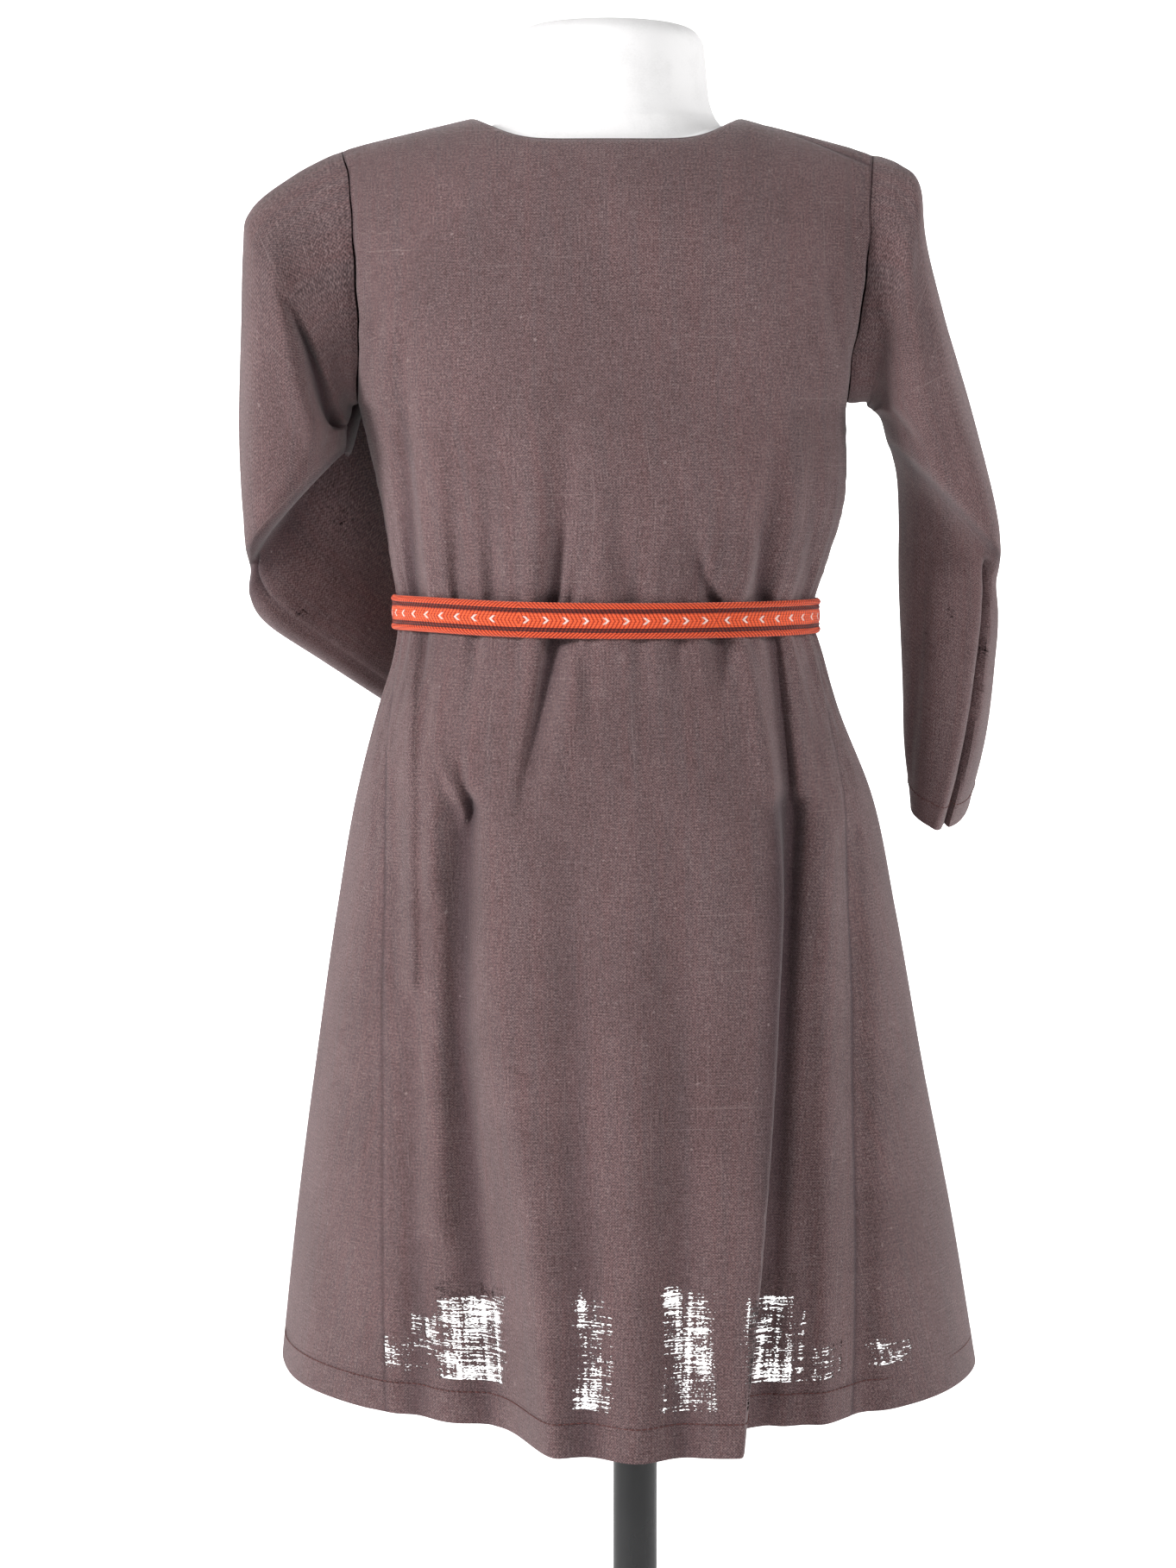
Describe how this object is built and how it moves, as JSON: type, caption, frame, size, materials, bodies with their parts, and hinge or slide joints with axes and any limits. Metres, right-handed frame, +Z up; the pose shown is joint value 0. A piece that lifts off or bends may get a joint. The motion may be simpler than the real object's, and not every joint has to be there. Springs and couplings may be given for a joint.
{
  "type": "linen dress on a limbless dress form",
  "caption": "Child's long-sleeved linen dress with flared side gores and a woven belt, worn by a limbless dress form on a pole stand with a round foot.",
  "frame": {"origin": "on the floor under the middle of the round foot, on the pole's axis", "axes": "+Z up along the pole; the dress faces -Y and its back faces +Y; +X is to the left of someone who looks at its back"},
  "size_m": [0.4105, 0.3679, 1.041],
  "materials": {
    "linen": "plain-woven brown linen with slubs and small gaps in the weave, soft and unshiny",
    "belt_weave": "tablet-woven orange wool with dark brown stripes and small pale chevrons",
    "form_cloth": "white knitted cover, stretched smooth",
    "black_paint": "black paint, half gloss"
  },
  "bodies": {
    "root": {"back_panel": "linen", "front_panel": "linen", "gore_left": "linen", "gore_right": "linen", "sleeve_left": "linen", "sleeve_right": "linen", "belt_band": "belt_weave", "belt_knot": "belt_weave", "belt_end_a": "belt_weave", "belt_end_b": "belt_weave", "form_torso": "form_cloth", "pole": "black_paint", "base_plate": "black_paint"}
  },
  "joints": []
}
